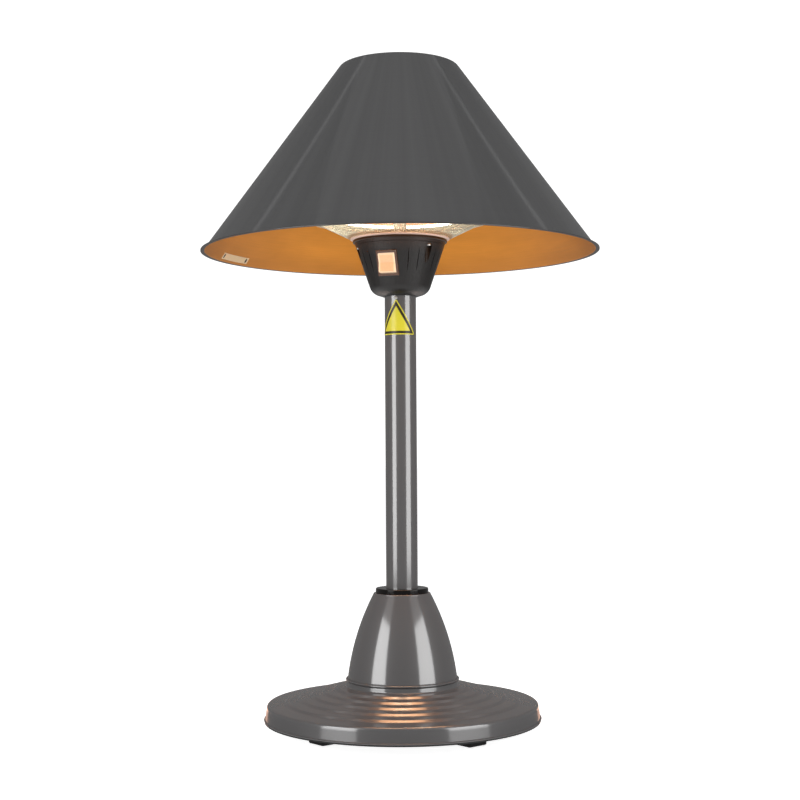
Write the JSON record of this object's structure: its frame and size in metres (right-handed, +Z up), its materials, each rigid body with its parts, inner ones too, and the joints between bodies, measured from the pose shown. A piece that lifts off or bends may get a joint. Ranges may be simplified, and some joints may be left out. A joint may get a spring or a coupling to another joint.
{
  "type": "table-top patio heater",
  "caption": "Free-standing electric patio heater shaped like a table lamp: ring lamp behind a mesh under a cone shade, rocker switch, pole, weighted stepped foot.",
  "frame": {"origin": "on the table, on the pole's axis", "axes": "+Z up along the pole, -Y towards the front, where the switch is"},
  "size_m": [0.4805, 0.4806, 0.8099],
  "materials": {
    "shade_paint": "satin",
    "label_white": "matte",
    "label_yellow": "satin",
    "bright_steel": "satin",
    "zinc_steel": "satin",
    "polished_reflector": "polished",
    "guard_steel": "satin",
    "quartz": "gloss",
    "filament": "matte",
    "ceramic": "matte",
    "black_plastic": "satin",
    "rocker_plastic": "gloss",
    "brass_parts": "satin",
    "pole_steel": "gloss",
    "collar_plastic": "gloss",
    "bell_steel": "gloss",
    "base_paint": "gloss",
    "cast_weight": "matte",
    "plate_steel": "satin",
    "foot_rubber": "matte",
    "sheath_rubber": "matte",
    "wire_cover": "matte"
  },
  "bodies": {
    "heater": {"shade": "shade_paint", "shade_label": "label_white", "shade_cap_nut": "bright_steel", "shade_washers": "zinc_steel", "shade_lock_nut": "zinc_steel", "tie_rod": "zinc_steel", "spacer_tube": "zinc_steel", "reflector_dish": "polished_reflector", "reflector_nut": "zinc_steel", "lamp_tube": "quartz", "lamp_filament": "filament", "lamp_end_cap_front": "ceramic", "lamp_end_cap_rear": "ceramic", "lamp_clips": "bright_steel", "lamp_clip_rivets": "bright_steel", "mesh_guard": "guard_steel", "guard_hem": "guard_steel", "heat_shield": "polished_reflector", "shield_inserts": "brass_parts", "bowl_housing": "black_plastic", "bowl_screws": "bright_steel", "head_mount": "cast_weight", "switch_body": "black_plastic", "switch_blades": "brass_parts", "terminal_block": "ceramic", "terminal_screws": "brass_parts", "supply_lead": "sheath_rubber", "supply_cores": "wire_cover", "switch_wires": "wire_cover", "lamp_wires": "wire_cover", "pole_tube": "pole_steel", "pole_top_screw": "zinc_steel", "pole_label": "label_yellow", "pole_collar": "collar_plastic", "collar_screw": "zinc_steel", "bell_cover": "bell_steel", "pole_socket": "zinc_steel", "socket_screws": "zinc_steel", "pole_bottom_screws": "zinc_steel", "base_dish": "base_paint", "ballast": "cast_weight", "bottom_plate": "plate_steel", "bottom_plate_screws": "zinc_steel", "foot_screws": "zinc_steel", "tip_switch_housing": "black_plastic", "tip_spring": "bright_steel", "tip_switch_screws": "zinc_steel", "cable_gland": "black_plastic", "gland_nut": "black_plastic", "foot_front_left": "foot_rubber", "foot_front_right": "foot_rubber", "foot_rear_right": "foot_rubber", "foot_rear_left": "foot_rubber"},
    "rocker": {"rocker_cap": "rocker_plastic"},
    "tip_pin": {"tip_plunger": "ceramic"}
  },
  "joints": [
    {"name": "rocker", "type": "hinge", "parent": "heater", "child": "rocker", "pos_m": [-0.0141, -0.04004, 0.55857], "axis": [0.9432, -0.3322, 0], "range_deg": [0, 20]},
    {"name": "tip_pin_slide", "type": "slide", "parent": "heater", "child": "tip_pin", "axis": [0, 0, -1], "range_m": [0, 0.0055], "stiffness_N_per_m": 50, "springref_m": 0.012, "deforming": ["tip_spring"]}
  ]
}
